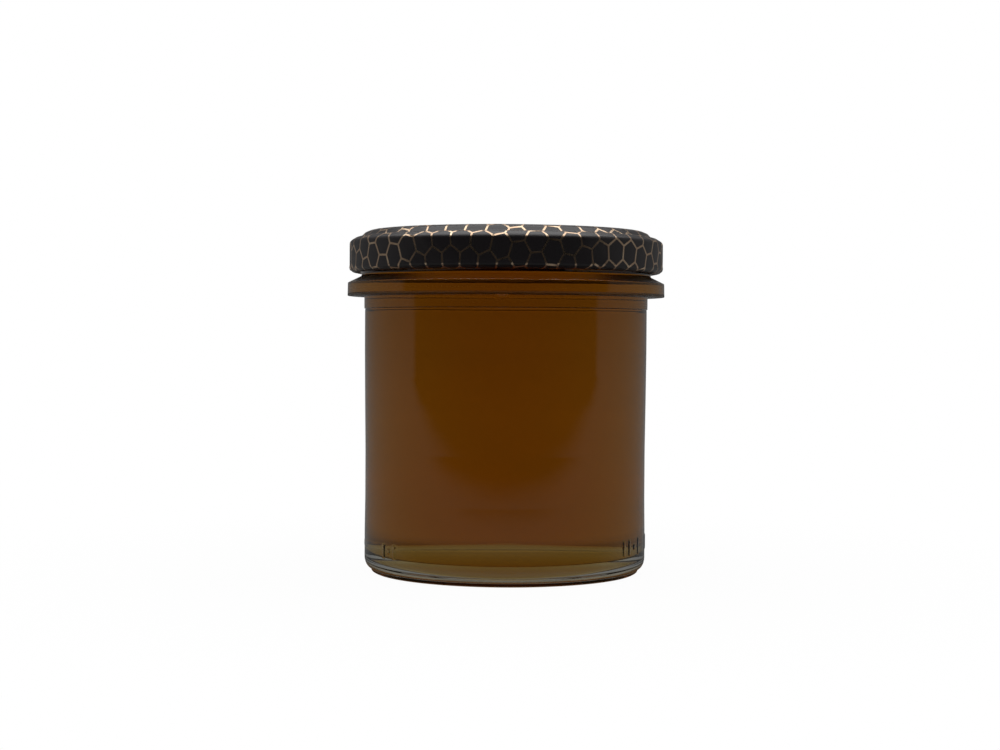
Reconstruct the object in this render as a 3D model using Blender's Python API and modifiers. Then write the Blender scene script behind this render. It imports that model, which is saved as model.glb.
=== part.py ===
"""Straight-sided honey jar with a twist-off lid and the honey inside it, as three turned solids."""
import math

import bmesh
import bpy

MM = 0.001

# Facets round each turned solid
SEGMENTS = 56
# Room between pieces that touch on the real jar
GAP = 0.3

# Overall heights above the table, in millimetres
LID_TOP_Z = 92.0
LID_EDGE_Z = 80.38
RIM_Z = 90.4
HONEY_Z = 85.7

# Outside radii of the glass
COLLAR_R = 42.95
NECK_R = 39.2
BAND_R = 38.42
BODY_TOP_R = 38.22
BODY_WAIST_R = 37.95
BODY_FOOT_R = 38.07
FOOT_R = 36.3
BEARING_R = 35.6

# Heights of the features on the outside of the glass
COLLAR_TOP_Z = 79.45
COLLAR_UNDER_Z = 74.38
PARTING_Z = 70.9
HEEL_Z = 4.2
FOOT_Z = 1.2

# Inside of the glass
BORE_R = 35.9
FLOOR_Z = 4.93
FLOOR_DOME = 3.16
FLOOR_VALLEY_R = 30.55
BORE_HEEL_Z = 11.4

# Underside of the glass
BEARING_INNER_R = 34.1
PUSH_UP_EDGE_R = 32.3
PUSH_UP_EDGE_Z = 1.45
PUSH_UP_Z = 4.04

# Twist-off lid
LID_R = 42.47
LID_SHEET = 0.5
LEDGE_R = 40.2
LEDGE_Z = 90.18
CREST_R = 36.0
PANEL_R = 33.2
PANEL_DROP = 0.85
CORNER_Z = 88.1
BEAD_TOP_Z = 82.7
BEAD_INNER_R = 40.42

# Short starts of screw thread round the neck
THREADS = 6
THREAD_FIRST_DEG = -97.0
THREAD_SPAN_DEG = 50.0
THREAD_PITCH = 6.5
THREAD_Z = 80.35
THREAD_HALF_H = 0.75
THREAD_R = 40.05
THREAD_STEPS = 8

# Raised mould marks on the heel: angle from the front, lowest and highest point, width
MARK_PROUD = 0.34
MARK_SUNK = 0.9
MARK_BEVEL = 0.22
MARKS = (
    (-90.0, 6.6, 8.3, 1.3),
    (-56.0, 5.8, 9.2, 0.95),
    (-52.4, 6.9, 8.1, 0.95),
    (-48.8, 5.8, 9.2, 0.95),
    (55.0, 6.4, 10.4, 0.95),
    (59.4, 6.4, 10.4, 0.95),
    (63.8, 7.8, 9.0, 0.95),
    (68.2, 6.4, 10.4, 0.95),
    (81.0, 6.4, 10.4, 0.95),
    (86.4, 6.4, 10.4, 0.95),
)

# Pointed tongue under the collar, at the front
TONGUE_DEG = -1.5
TONGUE_HALF_W = 2.5
TONGUE_TIP_Z = 72.7


def clear_scene():
    """Empties the scene of its objects."""
    for obj in list(bpy.data.objects):
        bpy.data.objects.remove(obj, do_unlink=True)


def new_collection(name):
    """Adds a collection to the scene."""
    found = bpy.data.collections.new(name)
    bpy.context.scene.collection.children.link(found)
    return found


def material(name, colour, roughness, metallic=0.0, transmission=0.0, ior=1.5):
    """Makes one Principled material."""
    made = bpy.data.materials.new(name)
    made.use_nodes = True
    shader = made.node_tree.nodes["Principled BSDF"]
    shader.inputs["Base Color"].default_value = (*colour, 1.0)
    shader.inputs["Roughness"].default_value = roughness
    shader.inputs["Metallic"].default_value = metallic
    shader.inputs["Transmission Weight"].default_value = transmission
    shader.inputs["IOR"].default_value = ior
    made.diffuse_color = (*colour, 1.0)
    return made


def arc(centre_r, centre_z, radius_r, radius_z, start_deg, end_deg, steps):
    """Points of an elliptical arc in the profile plane, both ends included."""
    points = []
    for i in range(steps + 1):
        a = math.radians(start_deg + (end_deg - start_deg) * i / steps)
        points.append((centre_r + radius_r * math.cos(a), centre_z + radius_z * math.sin(a)))
    return points


def turned(name, profile, finish, collection):
    """Turns a profile in the XZ plane round Z, from the axis inside to the axis underneath."""
    mesh = bpy.data.meshes.new(name)
    points = [(r * MM, 0.0, z * MM) for r, z in profile]
    mesh.from_pydata(points, [(i, i + 1) for i in range(len(points) - 1)], [])
    obj = bpy.data.objects.new(name, mesh)
    collection.objects.link(obj)
    mesh.materials.append(finish)
    screw = obj.modifiers.new("turn", "SCREW")
    screw.axis = "Z"
    screw.angle = math.tau
    screw.steps = SEGMENTS
    screw.render_steps = SEGMENTS
    screw.use_merge_vertices = True
    screw.merge_threshold = 0.00001
    screw.use_smooth_shade = True
    return obj


def inner_wall(clearance):
    """Bore of the jar from the middle of its floor to the top of its heel, less a clearance."""
    points = []
    for share in (0.0, 0.2, 0.36, 0.5, 0.63, 0.76, 0.89):
        dome = FLOOR_DOME * (1.0 - share * share) ** 1.5
        points.append((FLOOR_VALLEY_R * share, FLOOR_Z + dome + clearance))
    reach = BORE_R - FLOOR_VALLEY_R - clearance
    rise = BORE_HEEL_Z - FLOOR_Z - clearance
    points += arc(FLOOR_VALLEY_R, BORE_HEEL_Z, reach, rise, -90.0, 0.0, 7)
    return points


def jar_profile():
    """Outline of the glass, up the bore, over the rim and down the outside."""
    points = inner_wall(0.0)
    rim_half = (NECK_R - 0.2 - BORE_R) / 2
    rim_r = BORE_R + rim_half
    points += arc(rim_r, RIM_Z - 1.5, rim_half, 1.5, 180.0, 0.0, 6)
    points += [(NECK_R, RIM_Z - 2.4), (NECK_R, COLLAR_TOP_Z + 0.35)]
    points += [(39.75, COLLAR_TOP_Z), (41.0, 78.88), (42.3, 78.25), (42.75, 77.9), (42.86, 77.5)]
    points += [(COLLAR_R, 74.75), (42.85, 74.48), (42.6, COLLAR_UNDER_Z)]
    points += [(39.5, 74.25), (38.75, 73.9), (38.35, 73.4), (38.28, 73.0), (BAND_R, 72.5)]
    points += [(BAND_R - 0.04, PARTING_Z + 0.3), (38.12, PARTING_Z), (BODY_TOP_R, PARTING_Z - 0.35)]
    points += [(BODY_TOP_R, 60.0), (38.1, 46.0), (BODY_WAIST_R, 33.0), (BODY_WAIST_R, 20.0)]
    heel_r = BODY_FOOT_R - FOOT_R
    points += arc(FOOT_R + 0.1, HEEL_Z, heel_r - 0.1, HEEL_Z - FOOT_Z, 0.0, -78.0, 5)
    points += [(FOOT_R, FOOT_Z - 0.15), (FOOT_R - 0.1, 0.35), (BEARING_R, 0.0)]
    points += [(BEARING_INNER_R, 0.0), (PUSH_UP_EDGE_R, PUSH_UP_EDGE_Z)]
    for share in (0.85, 0.65, 0.4, 0.0):
        rise = (PUSH_UP_Z - PUSH_UP_EDGE_Z) * (1.0 - share * share)
        points.append((PUSH_UP_EDGE_R * share, PUSH_UP_EDGE_Z + rise))
    return points


def lid_profile():
    """Outline of the drawn sheet, along its inside, round the bead and up the outside."""
    panel_z = LID_TOP_Z - PANEL_DROP
    inside = [(0.0, panel_z - LID_SHEET), (PANEL_R, panel_z - LID_SHEET)]
    inside += [(34.6, LID_TOP_Z - LID_SHEET - 0.25), (CREST_R, LID_TOP_Z - LID_SHEET)]
    inside += [(37.8, 91.02), (38.75, 90.3), (39.6, LEDGE_Z - LID_SHEET), (40.8, 89.3)]
    inside += [(LID_R - LID_SHEET - 0.3, 88.75), (LID_R - LID_SHEET, CORNER_Z - 0.15)]
    inside += [(LID_R - LID_SHEET, BEAD_TOP_Z), (40.95, 81.9), (BEAD_INNER_R, 81.2)]
    outside = [(40.62, LID_EDGE_Z), (41.15, LID_EDGE_Z + 0.07), (41.65, 80.68), (42.08, 81.0)]
    outside += [(42.42, 81.4), (42.52, 81.95), (LID_R, BEAD_TOP_Z)]
    outside += [(LID_R, CORNER_Z), (42.27, 88.78), (41.86, 89.34), (41.15, 89.88)]
    outside += [(LEDGE_R, LEDGE_Z), (39.6, 90.42), (38.8, 91.05), (38.1, 91.52), (37.2, 91.87)]
    outside += [(CREST_R, LID_TOP_Z), (34.5, LID_TOP_Z - 0.12), (PANEL_R + 0.1, panel_z), (0.0, panel_z)]
    return list(reversed(inside + outside))


def honey_profile():
    """Outline of the honey, from its surface down beside the glass and along the floor."""
    wall = [(r, z) for r, z in reversed(inner_wall(GAP))]
    surface = [(0.0, HONEY_Z), (34.2, HONEY_Z), (BORE_R - GAP, HONEY_Z + 0.55)]
    return surface + wall


def outward(angle_deg, radius, z, across=0.0):
    """Point at an angle from the front, pushed sideways along the tangent."""
    a = math.radians(angle_deg)
    x = radius * math.sin(a) + across * math.cos(a)
    y = -radius * math.cos(a) + across * math.sin(a)
    return (x * MM, y * MM, z * MM)


def add_prism(mesh, near, far):
    """Adds the closed solid between two rings of the same count, near inside and far outside."""
    inner = [mesh.verts.new(p) for p in near]
    outer = [mesh.verts.new(p) for p in far]
    count = len(inner)
    mesh.faces.new(inner)
    mesh.faces.new(list(reversed(outer)))
    for i in range(count):
        j = (i + 1) % count
        mesh.faces.new((inner[j], inner[i], outer[i], outer[j]))


def add_mark(mesh, angle, low, high, width):
    """Adds one raised mark with sloping sides."""
    half = width / 2
    ring = ((-half, low), (half, low), (half, high), (-half, high))
    inside_r = BODY_FOOT_R - MARK_SUNK
    near = [outward(angle, inside_r, z, x) for x, z in ring]
    slim = half - MARK_BEVEL
    top = ((-slim, low + MARK_BEVEL), (slim, low + MARK_BEVEL), (slim, high - MARK_BEVEL), (-slim, high - MARK_BEVEL))
    far = [outward(angle, BODY_FOOT_R + MARK_PROUD, z, x) for x, z in top]
    add_prism(mesh, near, far)


def add_tongue(mesh):
    """Adds the pointed tongue that hangs below the collar."""
    high = COLLAR_UNDER_Z + 0.35
    ring = ((0.0, TONGUE_TIP_Z), (TONGUE_HALF_W, high), (-TONGUE_HALF_W, high))
    near = [outward(TONGUE_DEG, BODY_TOP_R - 0.9, z, x) for x, z in ring]
    reach = (BAND_R + 0.12, BAND_R + 0.62, BAND_R + 0.62)
    far = [outward(TONGUE_DEG, r, z, x) for r, (x, z) in zip(reach, ring)]
    add_prism(mesh, near, far)


def add_thread(mesh, first_deg):
    """Adds one short start of thread that fades into the neck at both ends."""
    rings = []
    for i in range(THREAD_STEPS + 1):
        share = i / THREAD_STEPS
        angle = first_deg + THREAD_SPAN_DEG * share
        z = THREAD_Z + THREAD_PITCH * THREAD_SPAN_DEG * share / 360.0
        fade = min(1.0, 0.35 + 4.0 * min(share, 1.0 - share))
        crest = NECK_R + (THREAD_R - NECK_R) * fade
        half = THREAD_HALF_H * fade
        shape = ((NECK_R - 0.7, -half), (NECK_R - 0.7, half), (crest, 0.45 * half), (crest, -0.45 * half))
        rings.append([mesh.verts.new(outward(angle, r, z + dz)) for r, dz in shape])
    for a, b in zip(rings, rings[1:]):
        for k in range(4):
            m = (k + 1) % 4
            mesh.faces.new((a[k], b[k], b[m], a[m]))
    mesh.faces.new(list(reversed(rings[0])))
    mesh.faces.new(rings[-1])


def relief_object(collection, finish):
    """Makes the helper that is joined to the glass: marks, tongue and thread starts."""
    mesh = bmesh.new()
    for mark in MARKS:
        add_mark(mesh, *mark)
    add_tongue(mesh)
    for i in range(THREADS):
        add_thread(mesh, THREAD_FIRST_DEG + 360.0 * i / THREADS)
    bmesh.ops.recalc_face_normals(mesh, faces=mesh.faces)
    data = bpy.data.meshes.new("relief")
    mesh.to_mesh(data)
    mesh.free()
    data.materials.append(finish)
    obj = bpy.data.objects.new("relief", data)
    collection.objects.link(obj)
    obj.hide_render = True
    obj.display_type = "WIRE"
    return obj


def smooth(obj, limit_deg):
    """Shades a piece smooth with sharp edges above a limit."""
    bpy.context.view_layer.objects.active = obj
    for other in bpy.context.selected_objects:
        other.select_set(False)
    obj.select_set(True)
    obj.data.shade_smooth()
    obj.data.set_sharp_from_angle(angle=math.radians(limit_deg))
    obj.select_set(False)


def main():
    """Builds the three pieces of the jar."""
    clear_scene()
    pieces = new_collection("honey_jar")
    helpers = new_collection("honey_jar_cutters")
    helpers.hide_render = True
    clear_glass = material("jar_glass", (0.93, 0.95, 0.93), 0.03, 0.0, 1.0, 1.52)
    lacquer = material("lid_lacquer", (0.015, 0.014, 0.013), 0.38, 0.0)
    amber = material("honey_amber", (0.33, 0.09, 0.004), 0.06, 0.0, 0.75, 1.49)

    glass = turned("jar", jar_profile(), clear_glass, pieces)
    relief = relief_object(helpers, clear_glass)
    join = glass.modifiers.new("relief", "BOOLEAN")
    join.operation = "UNION"
    join.solver = "EXACT"
    join.object = relief

    lid = turned("lid", lid_profile(), lacquer, pieces)
    honey = turned("honey", honey_profile(), amber, pieces)
    for obj in (glass, lid, honey):
        smooth(obj, 32.0)


main()
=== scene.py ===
"""A shut honey jar: clear glass, dark amber honey and a black twist-off lid with a gold honeycomb print."""
import logging
import math
import random
from collections.abc import Callable
from dataclasses import dataclass, field
from enum import Enum

import bmesh
import bpy
from mathutils import Matrix, Vector


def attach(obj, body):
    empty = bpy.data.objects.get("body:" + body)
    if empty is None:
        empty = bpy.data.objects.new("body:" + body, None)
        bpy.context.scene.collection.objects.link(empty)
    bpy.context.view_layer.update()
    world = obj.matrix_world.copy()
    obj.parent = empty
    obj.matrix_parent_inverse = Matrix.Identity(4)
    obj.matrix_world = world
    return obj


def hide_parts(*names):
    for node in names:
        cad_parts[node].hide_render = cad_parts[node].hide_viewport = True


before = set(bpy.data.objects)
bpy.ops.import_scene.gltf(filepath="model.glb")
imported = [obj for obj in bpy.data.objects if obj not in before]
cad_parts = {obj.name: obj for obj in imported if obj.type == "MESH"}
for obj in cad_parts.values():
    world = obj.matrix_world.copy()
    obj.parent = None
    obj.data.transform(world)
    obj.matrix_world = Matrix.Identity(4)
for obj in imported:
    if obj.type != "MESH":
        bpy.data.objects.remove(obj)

LOG = logging.getLogger("honey_jar")
MM = 0.001

Point = tuple[float, float]
Corner = tuple[float, float, float]
Colour = tuple[float, float, float]
Key = tuple[int, int, int]


class Ray(Enum):
    """What a light path asks about, as the socket's name."""

    CAMERA = "Is Camera Ray"


# Small helpers for profiles


def smooth_step(low: float, high: float, value: float) -> float:
    """Eased share of the way from one value to another.

    Args:
        low: Where the share is 0, above high for a fall.
        high: Where the share is 1.
        value: The value.

    Returns:
        The share, held between 0 and 1.
    """
    share = min(1.0, max(0.0, (value - low) / (high - low)))
    return share * share * (3.0 - 2.0 * share)


def arc(centre: Point, radii: Point, start_deg: float, end_deg: float, steps: int) -> list[Point]:
    """Points of an elliptical arc.

    Args:
        centre: Centre in the profile plane, as radius and height.
        radii: Half axes along radius and height.
        start_deg: First angle, from the outward direction.
        end_deg: Last angle.
        steps: Number of chords.

    Returns:
        The points, both ends included.
    """
    points = []
    for i in range(steps + 1):
        a = math.radians(start_deg + (end_deg - start_deg) * i / steps)
        points.append((centre[0] + radii[0] * math.cos(a), centre[1] + radii[1] * math.sin(a)))
    return points


def filleted(corners: list[Corner], steps: int = 6) -> list[Point]:
    """Rounds the corners of an open outline.

    Args:
        corners: Radius, height and fillet radius of each corner.
        steps: Chords in each fillet.

    Returns:
        The outline with an arc in place of each corner that has a fillet.
    """
    out: list[Point] = []
    for i, (r, z, fillet) in enumerate(corners):
        if fillet <= 0.0 or i in (0, len(corners) - 1):
            out.append((r, z))
            continue
        here = Vector((r, z))
        back = Vector(corners[i - 1][:2]) - here
        ahead = Vector(corners[i + 1][:2]) - here
        turn = back.angle(ahead)
        cut = min(fillet / math.tan(turn / 2), 0.49 * back.length, 0.49 * ahead.length)
        start, end = here + back.normalized() * cut, here + ahead.normalized() * cut
        for k in range(steps + 1):
            t = k / steps
            # A quadratic curve is within a hair of the arc at these angles
            p = start * (1 - t) ** 2 + here * (2 * t * (1 - t)) + end * t * t
            out.append((p.x, p.y))
    return out


def refined(points: list[Point], low: float, high: float, pitch: float) -> list[Point]:
    """Splits the outline's chords between two heights into short ones.

    Args:
        points: The outline.
        low: Lowest height that is refined.
        high: Highest height that is refined.
        pitch: Longest chord there.

    Returns:
        The outline with more points.
    """
    out = [points[0]]
    for (ra, za), (rb, zb) in zip(points, points[1:]):
        reach = math.hypot(rb - ra, zb - za)
        inside = max(za, zb) > low and min(za, zb) < high
        cuts = max(1, math.ceil(reach / pitch)) if inside else 1
        out += [(ra + (rb - ra) * k / cuts, za + (zb - za) * k / cuts) for k in range(1, cuts + 1)]
    return out


def steadied(points: list[Point], margin: float = 0.05) -> list[Point]:
    """Adds a point close to each end of a long chord, so that smooth shading keeps flats flat.

    Args:
        points: The outline.
        margin: Distance of the added points from the chord's ends.

    Returns:
        The outline with the added points.
    """
    out = [points[0]]
    for (ra, za), (rb, zb) in zip(points, points[1:]):
        reach = math.hypot(rb - ra, zb - za)
        if reach > 7 * margin:
            share = margin / reach
            out.append((ra + (rb - ra) * share, za + (zb - za) * share))
            out.append((rb - (rb - ra) * share, zb - (zb - za) * share))
        out.append((rb, zb))
    return out


def link(name: str, mesh: bpy.types.Mesh) -> bpy.types.Object:
    """Puts a mesh in the scene.

    Args:
        name: Name of the object.
        mesh: The mesh.

    Returns:
        The object, at the origin.
    """
    obj = bpy.data.objects.new(name, mesh)
    bpy.context.scene.collection.objects.link(obj)
    return obj


def turned_mesh(
    name: str,
    outline: list[Point],
    angles: list[float],
    lift: Callable[[int, float, float, float], float] | None = None,
) -> bpy.types.Mesh:
    """Turns an outline round Z into one closed mesh.

    Args:
        name: Name of the mesh.
        outline: Radius and height in millimetres, both ends on the axis, running down the outer side.
        angles: Azimuths in degrees from the front, rising, over one turn.
        lift: Optional function of row, azimuth, radius and height that gives the radius at a point.

    Returns:
        The mesh, smooth shaded, with its faces out.
    """
    build = bmesh.new()
    rows = []
    for index, (r, z) in enumerate(outline):
        if r < 1e-6:
            rows.append([build.verts.new((0.0, 0.0, z * MM))])
            continue
        row = []
        for angle in angles:
            a = math.radians(angle)
            radius = lift(index, angle, r, z) if lift else r
            row.append(build.verts.new((radius * MM * math.sin(a), -radius * MM * math.cos(a), z * MM)))
        rows.append(row)
    count = len(angles)
    for upper, lower in zip(rows, rows[1:]):
        for i in range(count):
            j = (i + 1) % count
            if len(upper) == 1:
                build.faces.new((upper[0], lower[i], lower[j]))
            elif len(lower) == 1:
                build.faces.new((upper[i], lower[0], upper[j]))
            else:
                build.faces.new((upper[i], lower[i], lower[j], upper[j]))
    build.normal_update()
    mesh = bpy.data.meshes.new(name)
    build.to_mesh(mesh)
    build.free()
    mesh.shade_smooth()
    return mesh


# Shader helpers


class NodeBench:
    """Adds and joins the nodes of one tree."""

    def __init__(self, tree: bpy.types.NodeTree) -> None:
        """Takes the tree to work on."""
        self.tree = tree

    def add(self, kind: str, **values: object) -> bpy.types.Node:
        """Adds a node.

        Args:
            kind: Type of the node.
            values: Properties of the node, by name.

        Returns:
            The node.
        """
        node = self.tree.nodes.new(kind)
        for key, value in values.items():
            setattr(node, key, value)
        return node

    def join(self, source: bpy.types.NodeSocket, target: bpy.types.NodeSocket) -> None:
        """Joins two sockets."""
        self.tree.links.new(source, target)

    def maths(
        self, operation: str, *terms: bpy.types.NodeSocket | float, clamp: bool = False
    ) -> bpy.types.NodeSocket:
        """Adds a Math node.

        Args:
            operation: The node's operation.
            terms: Sockets or numbers for its inputs.
            clamp: Whether the result is held between 0 and 1.

        Returns:
            The node's output.
        """
        node = self.add("ShaderNodeMath", operation=operation, use_clamp=clamp)
        for socket, term in zip(node.inputs, terms):
            if isinstance(term, bpy.types.NodeSocket):
                self.join(term, socket)
            else:
                socket.default_value = term
        return node.outputs[0]

    def ease(
        self, value: bpy.types.NodeSocket, low: float, high: float, to: Point = (0.0, 1.0)
    ) -> bpy.types.NodeSocket:
        """Maps a value smoothly from one range to another.

        Args:
            value: The value.
            low: Where the change starts, above high for a fall.
            high: Where the change ends.
            to: Result at low and at high.

        Returns:
            The result.
        """
        node = self.add("ShaderNodeMapRange", interpolation_type="SMOOTHSTEP")
        self.join(value, node.inputs["Value"])
        node.inputs["From Min"].default_value = low
        node.inputs["From Max"].default_value = high
        node.inputs["To Min"].default_value = to[0]
        node.inputs["To Max"].default_value = to[1]
        return node.outputs["Result"]

    def blend(
        self,
        share: bpy.types.NodeSocket | float,
        first: bpy.types.NodeSocket | Colour,
        second: bpy.types.NodeSocket | Colour,
    ) -> bpy.types.NodeSocket:
        """Mixes two colours.

        Args:
            share: Socket or number that is 0 for the first colour and 1 for the second.
            first: Socket or colour.
            second: Socket or colour.

        Returns:
            The mixed colour.
        """
        node = self.add("ShaderNodeMix", data_type="RGBA")
        for term, socket in ((share, node.inputs[0]), (first, node.inputs[6]), (second, node.inputs[7])):
            if isinstance(term, bpy.types.NodeSocket):
                self.join(term, socket)
            elif isinstance(term, tuple):
                socket.default_value = (*term, 1.0)
            else:
                socket.default_value = term
        return node.outputs[2]


def group_tree(name: str, inputs: dict[str, float], outputs: tuple[str, ...]) -> bpy.types.NodeTree:
    """Starts a shader node group with named number sockets.

    Args:
        name: Name of the group.
        inputs: Each input with its default.
        outputs: Names of the outputs.

    Returns:
        The empty group.
    """
    tree = bpy.data.node_groups.new(name, "ShaderNodeTree")
    for key, value in inputs.items():
        socket = tree.interface.new_socket(name=key, in_out="INPUT", socket_type="NodeSocketFloat")
        socket.default_value = value
    for key in outputs:
        tree.interface.new_socket(name=key, in_out="OUTPUT", socket_type="NodeSocketFloat")
    return tree


class SharedEffects:
    """Surface effects that several finishes use, each built once."""

    def __init__(self) -> None:
        """Builds the groups."""
        self.waver = self._waver()
        self.handling = self._handling()

    @staticmethod
    def _waver() -> bpy.types.NodeTree:
        """Slow swell with a fine ripple over it.

        Returns:
            The group, with the swell as a height.
        """
        inputs = {"Swell Scale": 60.0, "Ripple Scale": 900.0, "Ripple Share": 0.2}
        tree = group_tree("slow_waver", inputs, ("Height",))
        bench = NodeBench(tree)
        start, end = bench.add("NodeGroupInput"), bench.add("NodeGroupOutput")
        place = bench.add("ShaderNodeTexCoord")
        swell = bench.add("ShaderNodeTexNoise")
        swell.inputs["Detail"].default_value = 1.0
        ripple = bench.add("ShaderNodeTexNoise")
        ripple.inputs["Detail"].default_value = 2.0
        for node, key in ((swell, "Swell Scale"), (ripple, "Ripple Scale")):
            bench.join(place.outputs["Object"], node.inputs["Vector"])
            bench.join(start.outputs[key], node.inputs["Scale"])
        fine = bench.maths("MULTIPLY", ripple.outputs["Fac"], start.outputs["Ripple Share"])
        bench.join(bench.maths("ADD", swell.outputs["Fac"], fine), end.inputs["Height"])
        return tree

    @staticmethod
    def _handling() -> bpy.types.NodeTree:
        """Faint smears and specks left by handling.

        Returns:
            The group, with both in one mask.
        """
        inputs = {"Smear Scale": 45.0, "Speck Scale": 1500.0, "Amount": 0.5}
        tree = group_tree("handling_marks", inputs, ("Mask",))
        bench = NodeBench(tree)
        start, end = bench.add("NodeGroupInput"), bench.add("NodeGroupOutput")
        place = bench.add("ShaderNodeTexCoord")
        smear = bench.add("ShaderNodeTexNoise")
        smear.inputs["Detail"].default_value = 5.0
        smear.inputs["Distortion"].default_value = 0.8
        speck = bench.add("ShaderNodeTexVoronoi")
        for node, key in ((smear, "Smear Scale"), (speck, "Speck Scale")):
            bench.join(place.outputs["Object"], node.inputs["Vector"])
            bench.join(start.outputs[key], node.inputs["Scale"])
        soft = bench.ease(smear.outputs["Fac"], 0.45, 0.75)
        dots = bench.ease(speck.outputs["Distance"], 0.16, 0.08)
        sparse = bench.maths("MULTIPLY", dots, bench.ease(smear.outputs["Fac"], 0.55, 0.8))
        both = bench.maths("ADD", soft, bench.maths("MULTIPLY", sparse, 0.6), clamp=True)
        bench.join(bench.maths("MULTIPLY", both, start.outputs["Amount"]), end.inputs["Mask"])
        return tree


def principled(name: str) -> tuple[bpy.types.Material, NodeBench, bpy.types.Node, bpy.types.Node]:
    """Starts a material.

    Args:
        name: Name of the material.

    Returns:
        The material, its bench, its Principled shader and its output node.
    """
    material = bpy.data.materials.new(name)
    material.use_nodes = True
    nodes = material.node_tree.nodes
    return material, NodeBench(material.node_tree), nodes["Principled BSDF"], nodes["Material Output"]


def placed(bench: NodeBench, tree: bpy.types.NodeTree, **values: float) -> bpy.types.Node:
    """Places a shared group in a material.

    Args:
        bench: Bench of the material.
        tree: The group.
        values: Values of its inputs, with underscores for spaces.

    Returns:
        The group's node.
    """
    node = bench.add("ShaderNodeGroup")
    node.node_tree = tree
    for key, value in values.items():
        node.inputs[key.replace("_", " ")].default_value = value
    return node


def bumped(
    bench: NodeBench, height: bpy.types.NodeSocket, shader: bpy.types.Node, strength: float, depth: float
) -> None:
    """Feeds a height into a shader's normal.

    Args:
        bench: Bench of the material.
        height: The height, in shares of the depth.
        shader: The shader.
        strength: Share of the bump that is used.
        depth: Depth of the bump in metres.
    """
    bump = bench.add("ShaderNodeBump")
    bump.inputs["Strength"].default_value = strength
    bump.inputs["Distance"].default_value = depth
    bench.join(height, bump.inputs["Height"])
    bench.join(bump.outputs["Normal"], shader.inputs["Normal"])


# Finishes


@dataclass(frozen=True)
class GrainBand:
    """A band of heights in metres where the glass is less polished, with soft ends."""

    low: Point
    high: Point
    share: float

    def mask(self, bench: NodeBench, height: bpy.types.NodeSocket) -> bpy.types.NodeSocket:
        """Grain of the band at a height.

        Args:
            bench: Bench of the material.
            height: The height in metres.

        Returns:
            The band's share inside it and 0 outside.
        """
        rise, fall = bench.ease(height, *self.low), bench.ease(height, self.high[1], self.high[0])
        return bench.maths("MULTIPLY", bench.maths("MULTIPLY", rise, fall), self.share)


@dataclass(frozen=True)
class GlassFinish:
    """Moulded soda-lime glass, faintly green, with a little grain on the edges of the collar."""

    name: str
    ior: float
    tint: Colour = (0.965, 0.985, 0.965)
    tint_deep: Colour = (0.935, 0.972, 0.945)
    waver: float = 0.10
    smear_roughness: float = 0.035
    collar_grain: float = 0.35
    collar_bands: tuple[GrainBand, ...] = (
        GrainBand((0.0778, 0.0783), (0.0794, 0.0798), 1.0),
        GrainBand((0.0742, 0.0744), (0.0749, 0.0752), 1.5),
    )

    def material(self, effects: SharedEffects) -> bpy.types.Material:
        """Builds the material.

        Args:
            effects: The shared groups.

        Returns:
            The material.
        """
        material, bench, shader, _ = principled(self.name)
        marks = placed(bench, effects.handling, Smear_Scale=38.0, Speck_Scale=1300.0, Amount=1.0)
        swell = placed(bench, effects.waver, Swell_Scale=55.0, Ripple_Scale=420.0, Ripple_Share=0.06)
        bench.join(bench.blend(marks.outputs["Mask"], self.tint, self.tint_deep), shader.inputs["Base Color"])
        place = bench.add("ShaderNodeTexCoord")
        parts = bench.add("ShaderNodeSeparateXYZ")
        bench.join(place.outputs["Object"], parts.inputs[0])
        grain = self.collar_bands[0].mask(bench, parts.outputs["Z"])
        for band in self.collar_bands[1:]:
            grain = bench.maths("ADD", grain, band.mask(bench, parts.outputs["Z"]))
        rough = bench.ease(marks.outputs["Mask"], 0.0, 1.0, (0.0, self.smear_roughness))
        rough = bench.maths("ADD", rough, bench.maths("MULTIPLY", grain, self.collar_grain))
        bench.join(rough, shader.inputs["Roughness"])
        shader.inputs["Transmission Weight"].default_value = 1.0
        shader.inputs["IOR"].default_value = self.ior
        bumped(bench, swell.outputs["Height"], shader, self.waver, 0.0006)
        return material


@dataclass(frozen=True)
class HoneyFinish:
    """Clear dark amber honey that wets the glass, so that the glass beside it does the bending of light."""

    name: str = "honey_amber"
    loss_per_m: Colour = (8.8, 27.0, 75.0)
    clear: Colour = (1.0, 0.995, 0.985)
    streaked: Colour = (0.985, 0.965, 0.93)
    ior: float = 1.0

    def material(self, effects: SharedEffects) -> bpy.types.Material:
        """Builds the material.

        Args:
            effects: The shared groups.

        Returns:
            The material.
        """
        material, bench, shader, output = principled(self.name)
        streak = placed(bench, effects.waver, Swell_Scale=26.0, Ripple_Scale=110.0, Ripple_Share=0.35)
        share = bench.ease(streak.outputs["Height"], 0.45, 0.85)
        bench.join(bench.blend(share, self.clear, self.streaked), shader.inputs["Base Color"])
        shader.inputs["Roughness"].default_value = 0.0
        shader.inputs["Transmission Weight"].default_value = 1.0
        shader.inputs["IOR"].default_value = self.ior
        absorb = bench.add("ShaderNodeVolumeAbsorption")
        density = max(self.loss_per_m)
        absorb.inputs["Density"].default_value = density
        absorb.inputs["Color"].default_value = (*(1.0 - loss / density for loss in self.loss_per_m), 1.0)
        bench.join(absorb.outputs["Volume"], output.inputs["Volume"])
        return material


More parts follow.
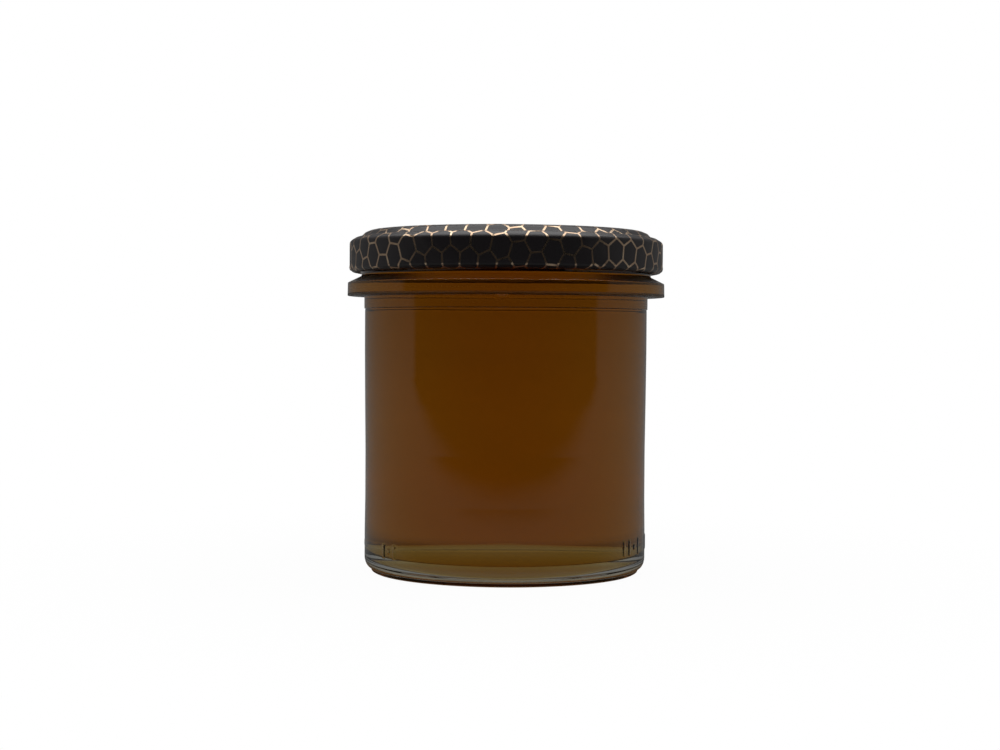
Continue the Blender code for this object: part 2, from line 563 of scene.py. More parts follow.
@dataclass(frozen=True)
class LacquerFinish:
    """Black satin lacquer on drawn sheet."""

    name: str = "lid_lacquer"
    black: Colour = (0.032, 0.027, 0.029)
    worn: Colour = (0.045, 0.040, 0.040)
    roughness: Point = (0.36, 0.48)

    def material(self, effects: SharedEffects) -> bpy.types.Material:
        """Builds the material.

        Args:
            effects: The shared groups.

        Returns:
            The material.
        """
        material, bench, shader, _ = principled(self.name)
        marks = placed(bench, effects.handling, Smear_Scale=60.0, Speck_Scale=2600.0, Amount=0.8)
        peel = placed(bench, effects.waver, Swell_Scale=260.0, Ripple_Scale=2400.0, Ripple_Share=0.45)
        bench.join(bench.blend(marks.outputs["Mask"], self.black, self.worn), shader.inputs["Base Color"])
        bench.join(bench.ease(marks.outputs["Mask"], 0.0, 1.0, self.roughness), shader.inputs["Roughness"])
        shader.inputs["IOR"].default_value = 1.5
        bumped(bench, peel.outputs["Height"], shader, 0.25, 0.00006)
        return material


@dataclass(frozen=True)
class GoldInkFinish:
    """Thin metallic ink, paler where it is thick."""

    name: str = "gold_ink"
    thick: Colour = (0.86, 0.66, 0.46)
    thin: Colour = (0.66, 0.46, 0.31)
    roughness: Point = (0.24, 0.34)

    def material(self, effects: SharedEffects) -> bpy.types.Material:
        """Builds the material.

        Args:
            effects: The shared groups.

        Returns:
            The material.
        """
        material, bench, shader, _ = principled(self.name)
        lay = placed(bench, effects.waver, Swell_Scale=420.0, Ripple_Scale=3800.0, Ripple_Share=0.5)
        share = bench.ease(lay.outputs["Height"], 0.4, 0.95)
        bench.join(bench.blend(share, self.thick, self.thin), shader.inputs["Base Color"])
        bench.join(bench.ease(lay.outputs["Height"], 0.4, 0.95, self.roughness), shader.inputs["Roughness"])
        shader.inputs["Metallic"].default_value = 1.0
        bumped(bench, lay.outputs["Height"], shader, 0.3, 0.00003)
        return material


# The glass


@dataclass(frozen=True)
class MouldMark:
    """One plain raised mark on the heel, with its angle from the front and its size in millimetres."""

    angle_deg: float
    low: float
    high: float
    width: float
    proud: float = 0.15
    soft: float = 0.5

    def height(self, angle: float, radius: float, z: float) -> float:
        """How far the mark stands out at a point.

        Args:
            angle: Azimuth of the point in degrees.
            radius: Its distance from the axis.
            z: Its height.

        Returns:
            The height of the relief.
        """
        across = abs(math.radians(turn_between(angle, self.angle_deg))) * radius
        if across > self.width:
            return 0.0
        edge = self.soft / 2
        side = smooth_step(self.width / 2 + edge, self.width / 2 - edge, across)
        middle, half = (self.low + self.high) / 2, (self.high - self.low) / 2
        return self.proud * side * smooth_step(half + edge, half - edge, abs(z - middle))


def turn_between(a: float, b: float) -> float:
    """Signed angle from b to a in degrees, between -180 and 180."""
    return (a - b + 180.0) % 360.0 - 180.0


@dataclass
class GlassJar:
    """The clear jar, from its bore over the rim to the standing ring, in millimetres and degrees.

    The corners of the waist are given as radius, height and fillet radius.
    """

    bore_r: float = 35.9
    floor_z: float = 4.93
    floor_dome: float = 3.16
    floor_valley_r: float = 30.55
    floor_power: float = 1.52
    bore_heel_z: float = 11.4
    rim_z: float = 90.4
    neck_r: float = 39.2
    collar_r: float = 42.95
    fill_z: float = 85.7
    collar_top_z: float = 79.3
    collar_edge_z: float = 77.95
    collar_taper: float = 0.07
    collar_under_z: float = 74.4
    band_r: float = 38.42
    band_rows_z: Point = (73.0, 72.5)
    parting_z: float = 70.9
    parting_r: float = 38.12
    body_top_r: float = 38.22
    body_foot_r: float = 38.07
    waist: tuple[Corner, ...] = (
        (38.22, 60.0, 9.0),
        (38.1, 46.0, 9.0),
        (37.95, 33.0, 9.0),
        (37.95, 20.0, 9.0),
    )
    waist_foot_z: float = 11.4
    heel_z: float = 4.2
    foot_r: float = 36.3
    foot_z: float = 1.2
    bearing_r: float = 35.6
    bearing_inner_r: float = 34.1
    push_up_edge_r: float = 32.27
    push_up_edge_z: float = 1.475
    push_up_z: float = 4.04
    push_up_power: float = 0.915
    threads: int = 6
    thread_first_deg: float = -97.0
    thread_span_deg: float = 50.0
    thread_pitch: float = 6.5
    thread_z: float = 81.0
    thread_half: float = 0.6
    thread_soft: float = 0.15
    thread_fade_deg: Point = (4.0, 8.0)
    thread_r: float = 39.8
    tongue_deg: float = -1.5
    tongue_half_w: float = 2.5
    tongue_tip_z: float = 72.7
    tongue_proud: float = 0.2
    tongue_soft: float = 1.2
    mark_zone_z: Point = (5.4, 10.9)
    mark_row: float = 0.17
    thread_row: float = 0.3
    fine_deg: float = 0.38
    coarse_deg: float = 1.5
    mark_reach_deg: float = 2.2
    tongue_reach_deg: float = 4.6
    marks: tuple[MouldMark, ...] = (
        MouldMark(-90.0, 6.6, 8.3, 1.3),
        MouldMark(-56.0, 5.8, 9.2, 0.95),
        MouldMark(-52.4, 6.9, 8.1, 0.95),
        MouldMark(-48.8, 5.8, 9.2, 0.95),
        MouldMark(55.0, 6.4, 10.4, 0.95),
        MouldMark(59.4, 6.4, 10.4, 0.95),
        MouldMark(63.8, 7.8, 9.0, 0.95),
        MouldMark(68.2, 6.4, 10.4, 0.95),
        MouldMark(81.0, 6.4, 10.4, 0.95),
        MouldMark(86.4, 6.4, 10.4, 0.95),
    )
    bore_rows: int = field(default=0, init=False)

    def bore(self, overlap: float = 0.0) -> list[Point]:
        """Outline of the bore from the middle of the floor to the top of its heel.

        Args:
            overlap: How far the outline is moved into the glass.

        Returns:
            The outline.
        """
        chords = 40
        floor = []
        for i in range(chords):
            a = math.radians(90.0 * i / chords)
            dome = self.floor_dome * math.cos(a) ** (2 * self.floor_power)
            floor.append((self.floor_valley_r * math.sin(a), self.floor_z + dome - overlap))
        radii = (self.bore_r - self.floor_valley_r + overlap, self.bore_heel_z - self.floor_z + overlap)
        return floor + arc((self.floor_valley_r, self.bore_heel_z), radii, -90.0, 0.0, 26)

    def outline(self) -> list[Point]:
        """Whole outline of the glass, up the bore, over the rim and down the outside.

        Returns:
            The outline, which ends in the middle of the push-up.
        """
        points = self.bore()
        points += [(self.bore_r, z) for z in (25.0, 40.0, 55.0, 70.0, 80.0)]
        half = (self.neck_r - 0.2 - self.bore_r) / 2
        points += arc((self.bore_r + half, self.rim_z - 1.5), (half, 1.5), 180.0, 0.0, 14)
        outside = filleted(
            [
                (self.neck_r - 0.2, self.rim_z - 1.6, 0.0),
                (self.neck_r, self.rim_z - 2.4, 0.3),
                (self.neck_r, self.collar_top_z + 0.45, 0.5),
                (self.collar_r - self.collar_taper, self.collar_edge_z, 0.28),
                (self.collar_r, self.collar_under_z, 0.2),
                (self.band_r, self.collar_under_z - 0.02, 0.25),
                *((self.band_r, z, 0.0) for z in self.band_rows_z),
                (self.band_r - 0.02, self.parting_z + 0.16, 0.12),
                (self.parting_r, self.parting_z, 0.08),
                (self.body_top_r, self.parting_z - 0.3, 0.3),
                *self.waist,
                (self.body_foot_r, self.waist_foot_z, 3.0),
                (self.body_foot_r, self.heel_z + 0.2, 0.0),
            ],
            steps=6,
        )
        outside = refined(outside, 80.0, self.rim_z - 2.4, self.thread_row)
        points += refined(outside, *self.mark_zone_z, self.mark_row)
        reach = self.body_foot_r - self.foot_r - 0.1
        points += arc((self.foot_r + 0.1, self.heel_z), (reach, self.heel_z - self.foot_z), 0.0, -80.0, 14)
        rise = self.push_up_z - self.push_up_edge_z
        chords = 40
        under = []
        for i in range(chords + 1):
            a = math.radians(90.0 * i / chords)
            lift = rise * math.sin(a) ** (2 * self.push_up_power)
            radius = self.push_up_edge_r * math.cos(a) if i < chords else 0.0
            under.append((radius, self.push_up_edge_z + lift))
        points += filleted(
            [
                (self.foot_r + 0.05, self.foot_z - 0.1, 0.0),
                (self.foot_r, 0.75, 0.3),
                (self.foot_r - 0.15, 0.3, 0.3),
                (self.bearing_r, 0.0, 0.35),
                (self.bearing_inner_r, 0.0, 0.5),
                (*under[0], 0.3),
                (*under[2], 0.0),
            ],
            steps=6,
        )
        points += under[3:]
        points = steadied(points)
        self.bore_rows = max(
            i for i, (r, z) in enumerate(points) if r < self.bore_r + 0.5 and z > self.floor_z - 0.1
        )
        return points

    def azimuths(self) -> list[float]:
        """Azimuths of the mesh columns, closer together where the relief is.

        Returns:
            The azimuths in degrees, rising over one turn.
        """
        spots = [(mark.angle_deg, self.mark_reach_deg) for mark in self.marks]
        spots.append((self.tongue_deg, self.tongue_reach_deg))
        angles, angle = [], -180.0
        while angle < 180.0 - 0.2:
            angles.append(angle)
            near = any(abs(turn_between(angle, spot)) < reach for spot, reach in spots)
            angle += self.fine_deg if near else self.coarse_deg
        return angles

    def thread_height(self, angle: float, z: float) -> float:
        """How far the screw thread stands out from the neck at a point.

        Args:
            angle: Azimuth of the point in degrees.
            z: Its height.

        Returns:
            The height of the thread there.
        """
        best = 0.0
        fade_out, fade_in = self.thread_fade_deg
        span = self.thread_span_deg
        for i in range(self.threads):
            start = self.thread_first_deg + 360.0 * i / self.threads
            along = turn_between(angle, start + span / 2) + span / 2
            middle = self.thread_z + self.thread_pitch * along / 360.0
            start_share = smooth_step(-fade_out, fade_in, along)
            end_share = smooth_step(span + fade_out, span - fade_in, along)
            crest = smooth_step(self.thread_half + self.thread_soft, self.thread_soft, abs(z - middle))
            best = max(best, (self.thread_r - self.neck_r) * start_share * end_share * crest)
        return best

    def tongue_height(self, angle: float, radius: float, z: float) -> float:
        """How far the pointed tongue under the collar stands out at a point.

        Args:
            angle: Azimuth of the point in degrees.
            radius: Its distance from the axis.
            z: Its height.

        Returns:
            The height of the tongue there.
        """
        across = math.radians(turn_between(angle, self.tongue_deg)) * radius
        share = (z - self.tongue_tip_z) / (self.collar_under_z - self.tongue_tip_z)
        if share <= 0.0 or abs(across) > self.tongue_half_w:
            return 0.0
        edge = self.tongue_half_w * share - abs(across)
        root = smooth_step(self.collar_under_z - 0.1, self.collar_under_z - 0.6, z)
        return self.tongue_proud * smooth_step(0.0, self.tongue_soft, edge) * root

    def build(self, effects: SharedEffects) -> bpy.types.Object:
        """Builds and dresses the jar.

        Args:
            effects: The shared groups.

        Returns:
            The jar.
        """
        outline = self.outline()

        def lift(index: int, angle: float, r: float, z: float) -> float:
            """Radius of the glass at a point of the outline, with the relief."""
            if index <= self.bore_rows:
                return r
            if self.collar_top_z + 0.2 < z < self.rim_z - 2.0:
                return r + self.thread_height(angle, z)
            if self.tongue_tip_z < z < self.collar_under_z + 0.05 and r < self.band_r + 0.1:
                return r + self.tongue_height(angle, r, z)
            if self.mark_zone_z[0] < z < self.mark_zone_z[1]:
                return r + max(mark.height(angle, r, z) for mark in self.marks)
            return r

        mesh = turned_mesh("jar_glass", outline, self.azimuths(), lift)
        mesh.materials.append(GlassFinish("jar_glass", 1.52).material(effects))
        wetted_glass = GlassFinish("jar_glass_wetted", 1.0222, waver=0.04, collar_grain=0.0)
        mesh.materials.append(wetted_glass.material(effects))
        for face in mesh.polygons:
            inside = math.hypot(face.center.x, face.center.y) < (self.bore_r + 0.02) * MM
            wetted = inside and (self.floor_z - 0.3) * MM < face.center.z < self.fill_z * MM
            face.material_index = 1 if wetted else 0
        jar = link("jar_glass", mesh)
        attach(jar, "root")
        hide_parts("jar")
        LOG.info("jar: %d rows, %d faces", len(outline), len(mesh.polygons))
        return jar


# The honey


@dataclass
class HoneyFill:
    """The honey, just into the wall of the glass on all sides."""

    glass: GlassJar
    meniscus: float = 0.55
    overlap: float = 0.2
    columns: int = 180

    def build(self, effects: SharedEffects) -> bpy.types.Object:
        """Builds and dresses the honey.

        Args:
            effects: The shared groups.

        Returns:
            The honey.
        """
        wall_r = self.glass.bore_r + self.overlap
        level_z = self.glass.fill_z
        surface = [(wall_r * i / 12, level_z) for i in range(11)]
        for i in range(1, 9):
            t = i / 8
            surface.append((wall_r * 10 / 12 + (wall_r / 6) * t, level_z + self.meniscus * t ** 4))
        wall = [(wall_r, z) for z in (80.0, 65.0, 50.0, 35.0, 20.0)]
        floor = list(reversed(self.glass.bore(self.overlap)))
        angles = [360.0 * i / self.columns - 180.0 for i in range(self.columns)]
        mesh = turned_mesh("honey_fill", steadied(surface + wall + floor), angles)
        mesh.materials.append(HoneyFinish().material(effects))
        honey = link("honey_fill", mesh)
        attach(honey, "root")
        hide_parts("honey")
        LOG.info("honey: level %.1f mm, %d faces", level_z, len(mesh.polygons))
        return honey


# The lid


@dataclass
class TwistLid:
    """The drawn lid with its rolled bead."""

    top_z: float = 91.93
    edge_z: float = 80.6
    outer_r: float = 42.44
    sheet: float = 0.5
    ledge_r: float = 40.2
    ledge_z: float = 90.16
    crest_r: float = 36.0
    panel_r: float = 33.2
    panel_drop: float = 0.85
    skirt_top_z: float = 88.98
    bead_top_z: float = 82.7
    bead: tuple[Corner, ...] = ((42.5, 82.0, 0.5), (42.35, 81.42, 0.5), (41.6, 80.83, 0.5))
    bead_foot_r: float = 40.62
    bead_inner_r: float = 40.42
    bead_inner_z: float = 80.95
    columns: int = 288

    def outside(self) -> list[Point]:
        """Printed side of the sheet.

        Returns:
            The outline, from the middle of the panel to the foot of the bead.
        """
        panel_z = self.top_z - self.panel_drop
        corners = [
            (0.0, panel_z, 0.0),
            (self.panel_r, panel_z, 0.8),
            (self.panel_r + 1.2, self.top_z, 0.9),
            (self.crest_r + 1.0, self.top_z, 1.6),
            (38.3, 91.38, 1.0),
            (39.45, self.ledge_z + 0.1, 0.6),
            (self.ledge_r + 0.5, self.ledge_z - 0.1, 1.0),
            (self.outer_r, self.skirt_top_z, 1.3),
            (self.outer_r, self.bead_top_z + 0.1, 0.8),
            *self.bead,
            (self.bead_foot_r, self.edge_z, 0.0),
        ]
        return filleted(corners, steps=8)

    def outline(self) -> list[Point]:
        """Whole outline of the lid.

        Returns:
            The outline, over the top, round the bead and back along the inside.
        """
        panel_z = self.top_z - self.panel_drop - self.sheet
        inside = filleted(
            [
                (self.bead_inner_r, self.bead_inner_z, 0.0),
                (self.bead_inner_r, 81.5, 0.3),
                (40.95, 82.05, 0.4),
                (self.outer_r - self.sheet, self.bead_top_z, 0.6),
                (self.outer_r - self.sheet, 88.5, 1.2),
                (40.8, 89.4, 0.6),
                (39.4, self.ledge_z - self.sheet + 0.05, 0.5),
                (38.1, 90.9, 0.9),
                (self.crest_r + 0.9, self.top_z - self.sheet, 1.2),
                (self.panel_r + 1.4, self.top_z - self.sheet, 0.7),
                (self.panel_r + 0.2, panel_z, 0.6),
                (0.0, panel_z, 0.0),
            ],
            steps=5,
        )
        return steadied(self.outside() + inside)

    def build(self, effects: SharedEffects) -> bpy.types.Object:
        """Builds and dresses the lid.

        Args:
            effects: The shared groups.

        Returns:
            The lid.
        """
        angles = [360.0 * i / self.columns - 180.0 for i in range(self.columns)]
        outline = self.outline()
        mesh = turned_mesh("lid_sheet", outline, angles)
        mesh.materials.append(LacquerFinish().material(effects))
        inner = LacquerFinish("lid_inner_lacquer", (0.66, 0.63, 0.57), (0.58, 0.55, 0.49), (0.30, 0.40))
        mesh.materials.append(inner.material(effects))
        fold = (self.bead_inner_r, self.bead_inner_z)
        turn = min(range(len(outline)), key=lambda i: math.dist(outline[i], fold))
        for face in mesh.polygons:
            face.material_index = 1 if face.index // self.columns >= turn else 0
        lid = link("lid_sheet", mesh)
        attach(lid, "root")
        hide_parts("lid")
        LOG.info("lid: %d faces", len(mesh.polygons))
        return lid


@dataclass
class DrawnSheet:
    """Where a point of the flat printed sheet comes to lie once the lid is drawn, with area nearly kept."""

    side: list[Point]
    corner_z: float = 88.1
    corner_flat: float = 42.5
    skirt_draw: float = 1.0

    def __post_init__(self) -> None:
        """Works out the flat radius of each point of the outline."""
        areas = [0.0]
        for (ra, za), (rb, zb) in zip(self.side, self.side[1:]):
            areas.append(areas[-1] + (ra + rb) * math.hypot(rb - ra, zb - za))
        index = next(i for i, (_, z) in enumerate(self.side) if z < self.corner_z)
        r, z = self.side[index]
        corner = areas[index]
        start = self.corner_flat ** 2 + 2 * r * (self.corner_z - z) * self.skirt_draw
        self.flat = [
            math.sqrt(area * start / corner if area < corner else start + (area - corner) * self.skirt_draw)
            for area in areas
        ]

    def reach(self) -> float:
        """Flat radius of the sheet's edge."""
        return self.flat[-1]

    def place(self, x: float, y: float) -> tuple[Vector, Vector]:
        """Finds where a point of the flat sheet comes to lie.

        Args:
            x: Place across the flat sheet in millimetres.
            y: Place up the flat sheet in millimetres.

        Returns:
            The point on the lid in metres and the outward normal there.
        """
        flat = min(math.hypot(x, y), self.reach() - 1e-6)
        i = next(k for k in range(1, len(self.flat)) if self.flat[k] > flat)
        share = (flat - self.flat[i - 1]) / max(self.flat[i] - self.flat[i - 1], 1e-9)
        (ra, za), (rb, zb) = self.side[i - 1], self.side[i]
        r, z = ra + (rb - ra) * share, za + (zb - za) * share
        angle = math.atan2(x, -y)
        out = Vector((-(zb - za), rb - ra)).normalized()
        point = Vector((r * math.sin(angle), -r * math.cos(angle), z)) * MM
        return point, Vector((out.x * math.sin(angle), -out.x * math.cos(angle), out.y))


@dataclass
class HoneycombPrint:
    """Thin gold lines of a honeycomb that was printed on the flat sheet."""

    lid: TwistLid
    across: Point = (4.085, 3.874)
    upward: Point = (-3.419, 4.21)
    shift: Point = (4.432, 6.226)
    jitter: float = 0.015
    line_width: float = 0.5
    lift: float = 0.02
    chord: float = 0.24
    cover_r: float = 60.0
    seed: int = 7

    def junctions(self) -> tuple[dict[Key, Point], list[tuple[Key, Key]]]:
        """Junctions and walls of the flat honeycomb, a little uneven.

        Returns:
            The junctions by key, and the pairs of keys that a wall joins.
        """
        draw = random.Random(self.seed)
        side = 1.0 / math.sqrt(3.0)
        count = int(self.cover_r / math.hypot(*self.across)) + 2
        spots: dict[Key, Point] = {}
        for j in range(-count, count + 1):
            for i in range(-count - abs(j), count + abs(j) + 1):
                for k, dy in ((0, side), (1, -side)):
                    x = i + j / 2 + draw.uniform(-self.jitter, self.jitter)
                    y = 1.5 * side * j + dy + draw.uniform(-self.jitter, self.jitter)
                    spots[(i, j, k)] = (
                        self.shift[0] + x * self.across[0] + y * self.upward[0],
                        self.shift[1] + x * self.across[1] + y * self.upward[1],
                    )
        walls = []
        for (i, j, k) in spots:
            if k == 0:
                for other in ((i - 1, j + 1, 1), (i, j + 1, 1), (i - 1, j + 2, 1)):
                    if other in spots:
                        walls.append(((i, j, 0), other))
        return spots, walls

    def path_mesh(self) -> bpy.types.Mesh:
        """Lays the walls of the honeycomb on the lid as edges.

        Returns:
            The edges, with the way up at each point kept as an attribute.
        """
        sheet = DrawnSheet(self.lid.outside())
        limit = sheet.reach() - 0.05
        spots, walls = self.junctions()
        places: list[Vector] = []
        ups: list[Vector] = []
        edges: list[tuple[int, int]] = []
        known: dict[tuple, int] = {}

        def keep(key: tuple, x: float, y: float) -> int:
            """Index of the point with this key, added when it is new."""
            if key not in known:
                place, up = sheet.place(x, y)
                known[key] = len(places)
                places.append(place)
                ups.append(up)
            return known[key]

        for a, b in walls:
            (xa, ya), (xb, yb) = spots[a], spots[b]
            if min(math.hypot(xa, ya), math.hypot(xb, yb)) > limit:
                continue
            cuts = max(2, math.ceil(math.hypot(xb - xa, yb - ya) / self.chord))
            last = None
            for k in range(cuts + 1):
                t = k / cuts
                x, y = xa + (xb - xa) * t, ya + (yb - ya) * t
                if math.hypot(x, y) > limit:
                    last = None
                    continue
                key = a if k == 0 else b if k == cuts else (a, b, k)
                index = keep(key, x, y)
                if last is not None:
                    edges.append((last, index))
                last = index
        mesh = bpy.data.meshes.new("honeycomb_paths")
        mesh.from_pydata([tuple(p) for p in places], edges, [])
        way = mesh.attributes.new("up", "FLOAT_VECTOR", "POINT")
        way.data.foreach_set("vector", [c for up in ups for c in up])
        return mesh

    def line_tree(self, ink: bpy.types.Material) -> bpy.types.NodeTree:
        """Geometry nodes that lay a flat printed line along every edge.

        Args:
            ink: Material of the lines.

        Returns:
            The tree.
        """
        tree = bpy.data.node_groups.new("printed_lines", "GeometryNodeTree")
        face = tree.interface
        face.new_socket(name="Paths", in_out="INPUT", socket_type="NodeSocketGeometry")
        for key, value in (("Line Width", 0.0004), ("Lift", 0.00002)):
            socket = face.new_socket(name=key, in_out="INPUT", socket_type="NodeSocketFloat")
            socket.default_value = value
        face.new_socket(name="Lines", in_out="OUTPUT", socket_type="NodeSocketGeometry")
        bench = NodeBench(tree)
        start, end = bench.add("NodeGroupInput"), bench.add("NodeGroupOutput")
        curve = bench.add("GeometryNodeMeshToCurve")
        bench.join(start.outputs["Paths"], curve.inputs["Mesh"])
        up = bench.add("GeometryNodeInputNamedAttribute", data_type="FLOAT_VECTOR")
        up.inputs["Name"].default_value = "up"
        normal = bench.add("GeometryNodeSetCurveNormal", mode="FREE")
        bench.join(curve.outputs["Curve"], normal.inputs["Curve"])
        bench.join(up.outputs["Attribute"], normal.inputs["Normal"])
        strip = bench.add("GeometryNodeCurvePrimitiveQuadrilateral")
        bench.join(start.outputs["Lift"], strip.inputs["Width"])
        bench.join(start.outputs["Line Width"], strip.inputs["Height"])
        sweep = bench.add("GeometryNodeCurveToMesh")
        bench.join(normal.outputs["Curve"], sweep.inputs["Curve"])
        bench.join(strip.outputs["Curve"], sweep.inputs["Profile Curve"])
        sweep.inputs["Fill Caps"].default_value = True
        whole = bench.add("GeometryNodeRealizeInstances")
        bench.join(sweep.outputs["Mesh"], whole.inputs["Geometry"])
        dress = bench.add("GeometryNodeSetMaterial")
        dress.inputs["Material"].default_value = ink
        bench.join(whole.outputs["Geometry"], dress.inputs["Geometry"])
        bench.join(dress.outputs["Geometry"], end.inputs["Lines"])
        return tree

    def build(self, effects: SharedEffects) -> bpy.types.Object:
        """Builds and dresses the print.

        Args:
            effects: The shared groups.

        Returns:
            The printed lines as one piece.
        """
        ink = GoldInkFinish().material(effects)
        paths = link("honeycomb_paths", self.path_mesh())
        tree = self.line_tree(ink)
        press = paths.modifiers.new("print", "NODES")
        press.node_group = tree
        sizes = {"Line Width": self.line_width * MM, "Lift": self.lift * MM}
        for item in tree.interface.items_tree:
            if item.in_out == "INPUT" and item.name in sizes:
                press[item.identifier] = sizes[item.name]
        seen = paths.evaluated_get(bpy.context.evaluated_depsgraph_get())
        mesh = bpy.data.meshes.new_from_object(seen)
        mesh.name = "honeycomb_print"
        mesh.shade_flat()
        paths.modifiers.clear()
        bpy.data.objects.remove(paths, do_unlink=True)
        lines = link("honeycomb_print", mesh)
        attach(lines, "root")
        LOG.info("print: %d faces", len(mesh.polygons))
        return lines


# The studio


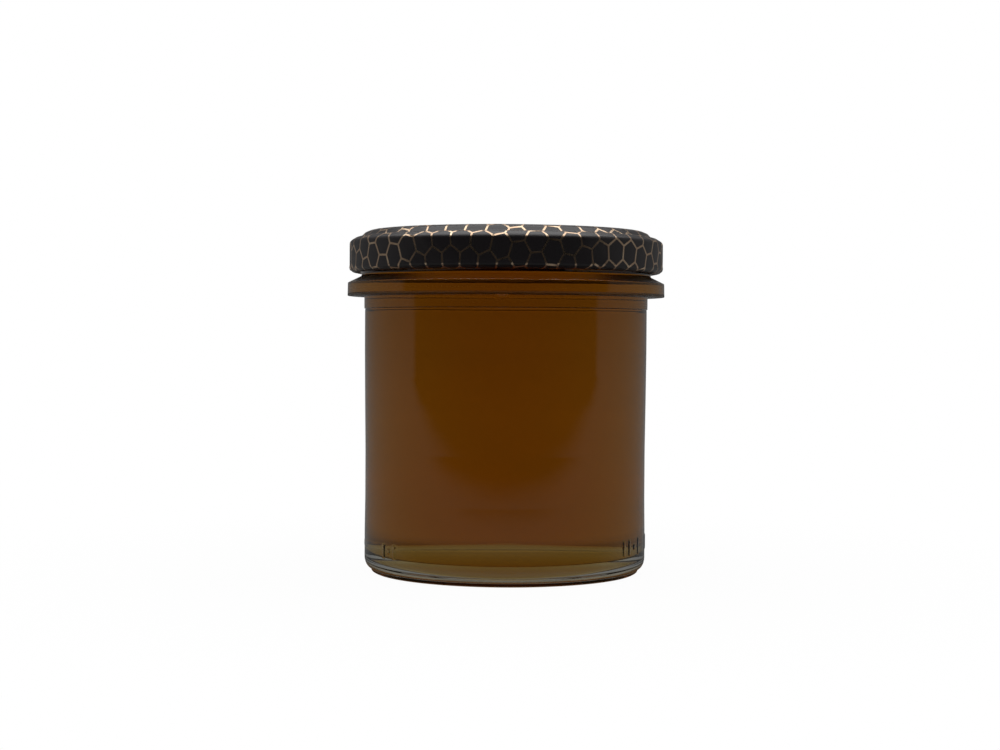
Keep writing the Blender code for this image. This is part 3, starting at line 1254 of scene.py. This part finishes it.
@dataclass
class Studio:
    """Pale floor, soft dim surroundings with a dark side at the camera, and one soft lamp above."""

    distance: float = 0.4942
    height: float = 0.06325
    lens: float = 65.34
    pitch_deg: float = 1.171
    yaw_deg: float = 0.173
    roll_deg: float = 0.34
    grey: float = 0.2
    dark: float = 0.004
    # Painted shadow: honey-coloured shade on the floor beneath the jar, seen only by rays from the jar.
    painted_shadow: Colour = (0.12, 0.062, 0.026)
    opening_deg: float = 78.0
    opening_soft_deg: float = 3.0
    opening_top: Point = (0.66, 0.46)
    horizon: Point = (-0.045, 0.05)
    horizon_share: float = 0.77
    upper: Point = (0.06, 0.22)
    upper_share: float = 1.06
    floor_r: float = 1.6
    floor_drop: float = 0.00005
    # Radii over which the painted shadow beneath the jar fades out.
    painted_shadow_r: Point = (0.034, 0.046)
    # Painted shade on the floor round the jar: ahead_y parts front from back, near_r and near_dark darken the
    # floor close in front, front_y lets it fall to black towards the camera, and back_r and back_share darken
    # it close behind.
    ahead_y: Point = (0.02, -0.05)
    near_r: Point = (0.145, 0.09)
    near_dark: float = 0.85
    front_y: Point = (-0.40, -0.20)
    back_r: Point = (0.045, 0.085)
    back_share: float = 0.5
    shadow_r: Point = (0.02, 0.2)
    shadow_share: float = 0.97
    lamp_power: float = 3.3
    lamp_size: float = 0.8
    lamp_z: float = 0.62

    def camera(self) -> None:
        """Places the camera."""
        data = bpy.data.cameras.new("camera")
        data.lens = self.lens
        data.sensor_width = 36.0
        data.clip_start = 0.01
        obj = bpy.data.objects.new("camera", data)
        bpy.context.scene.collection.objects.link(obj)
        turn = Matrix.Rotation(math.radians(self.yaw_deg), 4, "Z")
        tilt = Matrix.Rotation(math.radians(90.0 - self.pitch_deg), 4, "X")
        roll = Matrix.Rotation(math.radians(self.roll_deg), 4, "Z")
        obj.matrix_world = Matrix.Translation((0.0, -self.distance, self.height)) @ turn @ tilt @ roll
        bpy.context.scene.camera = obj

    def surroundings(self) -> None:
        """Fills the world: white to the camera, dim grey with a dark opening to the jar."""
        world = bpy.data.worlds.new("surroundings")
        bpy.context.scene.world = world
        world.use_nodes = True
        bench = NodeBench(world.node_tree)
        world.node_tree.nodes.clear()
        place = bench.add("ShaderNodeTexCoord")
        parts = bench.add("ShaderNodeSeparateXYZ")
        bench.join(place.outputs["Generated"], parts.inputs[0])
        away = bench.maths("ARCTAN2", parts.outputs["X"], bench.maths("MULTIPLY", parts.outputs["Y"], -1.0))
        outer = math.radians(self.opening_deg + self.opening_soft_deg)
        inner = math.radians(self.opening_deg - self.opening_soft_deg)
        side = bench.ease(bench.maths("ABSOLUTE", away), outer, inner)
        above = bench.ease(parts.outputs["Z"], *self.opening_top)
        share = bench.maths("MULTIPLY", side, above)
        low = bench.ease(parts.outputs["Z"], *self.horizon, (1.0, self.horizon_share))
        high = bench.ease(parts.outputs["Z"], *self.upper, (1.0, self.upper_share))
        fall = bench.maths("MULTIPLY", low, high)
        room = bench.add("ShaderNodeVectorMath", operation="SCALE")
        room.inputs[0].default_value = (self.grey,) * 3
        bench.join(fall, room.inputs["Scale"])
        dim = bench.blend(share, room.outputs[0], (self.dark,) * 3)
        path = bench.add("ShaderNodeLightPath")
        seen = bench.blend(path.outputs[Ray.CAMERA.value], dim, (1.0, 1.0, 1.0))
        back = bench.add("ShaderNodeBackground")
        bench.join(seen, back.inputs["Color"])
        output = bench.add("ShaderNodeOutputWorld")
        bench.join(back.outputs["Background"], output.inputs["Surface"])

    def floor(self) -> None:
        """Lays the pale floor, which to the jar is a dim glowing sheet with a painted shadow beneath the jar
        and painted shade around it.
        """
        build = bmesh.new()
        bmesh.ops.create_circle(build, cap_ends=True, segments=96, radius=self.floor_r)
        mesh = bpy.data.meshes.new("floor")
        build.to_mesh(mesh)
        build.free()
        material, bench, shader, output = principled("floor_paper")
        place = bench.add("ShaderNodeTexCoord")
        parts = bench.add("ShaderNodeSeparateXYZ")
        bench.join(place.outputs["Object"], parts.inputs[0])
        flat = bench.add("ShaderNodeCombineXYZ")
        bench.join(parts.outputs["X"], flat.inputs["X"])
        bench.join(parts.outputs["Y"], flat.inputs["Y"])
        length = bench.add("ShaderNodeVectorMath", operation="LENGTH")
        bench.join(flat.outputs[0], length.inputs[0])
        radius = length.outputs["Value"]
        # Painted shadow beneath the jar, honey-coloured.
        under = bench.ease(radius, *self.painted_shadow_r)
        ahead = bench.ease(parts.outputs["Y"], *self.ahead_y)
        # Painted shade close in front of the jar, falling to black towards the camera side.
        near = bench.ease(radius, *self.near_r, (1.0, 1.0 - self.near_dark))
        front = bench.maths("MULTIPLY", near, bench.ease(parts.outputs["Y"], *self.front_y))
        # Painted shade close behind the jar.
        back = bench.ease(radius, *self.back_r, (self.back_share, 1.0))
        side = bench.add("ShaderNodeMix")
        for index, term in ((0, ahead), (2, back), (3, front)):
            bench.join(term, side.inputs[index])
        pale = bench.add("ShaderNodeVectorMath", operation="SCALE")
        pale.inputs[0].default_value = (self.grey,) * 3
        bench.join(side.outputs[0], pale.inputs["Scale"])
        lit = bench.blend(under, self.painted_shadow, pale.outputs[0])
        # To every ray but the camera's the floor is a glowing sheet carrying this painted light and shade,
        # not a lit surface.
        dim = bench.add("ShaderNodeEmission")
        bench.join(lit, dim.inputs["Color"])
        shader.inputs["Base Color"].default_value = (0.9, 0.9, 0.9, 1.0)
        shader.inputs["Roughness"].default_value = 0.9
        bright = bench.add("ShaderNodeEmission")
        bright.inputs["Color"].default_value = (1.0, 1.0, 1.0, 1.0)
        fade = bench.add("ShaderNodeMixShader")
        bench.join(bench.ease(radius, *self.shadow_r, (self.shadow_share, 1.0)), fade.inputs[0])
        bench.join(shader.outputs[0], fade.inputs[1])
        bench.join(bright.outputs[0], fade.inputs[2])
        path = bench.add("ShaderNodeLightPath")
        choose = bench.add("ShaderNodeMixShader")
        bench.join(path.outputs[Ray.CAMERA.value], choose.inputs[0])
        bench.join(dim.outputs[0], choose.inputs[1])
        bench.join(fade.outputs[0], choose.inputs[2])
        bench.join(choose.outputs[0], output.inputs["Surface"])
        mesh.materials.append(material)
        obj = link("floor", mesh)
        obj.location.z = -self.floor_drop

    def lamp(self) -> None:
        """Hangs the soft lamp above the jar."""
        data = bpy.data.lights.new("soft_lamp", "AREA")
        data.shape = "SQUARE"
        data.size = self.lamp_size
        data.energy = self.lamp_power
        obj = bpy.data.objects.new("soft_lamp", data)
        bpy.context.scene.collection.objects.link(obj)
        obj.location = (0.0, 0.05, self.lamp_z)
        obj.visible_transmission = False

    def build(self) -> None:
        """Builds the whole studio."""
        self.camera()
        self.surroundings()
        self.floor()
        self.lamp()
        view = bpy.context.scene.view_settings
        view.view_transform = "Standard"
        view.look = "None"
        LOG.info("studio ready")


def main() -> None:
    """Builds the jar piece by piece, then the studio."""
    effects = SharedEffects()
    glass = GlassJar()
    glass.build(effects)
    HoneyFill(glass).build(effects)
    lid = TwistLid()
    lid.build(effects)
    HoneycombPrint(lid).build(effects)
    Studio().build()


if __name__ == "__main__":
    logging.basicConfig(level=logging.INFO, format="%(name)s %(message)s")
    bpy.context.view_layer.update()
    main()
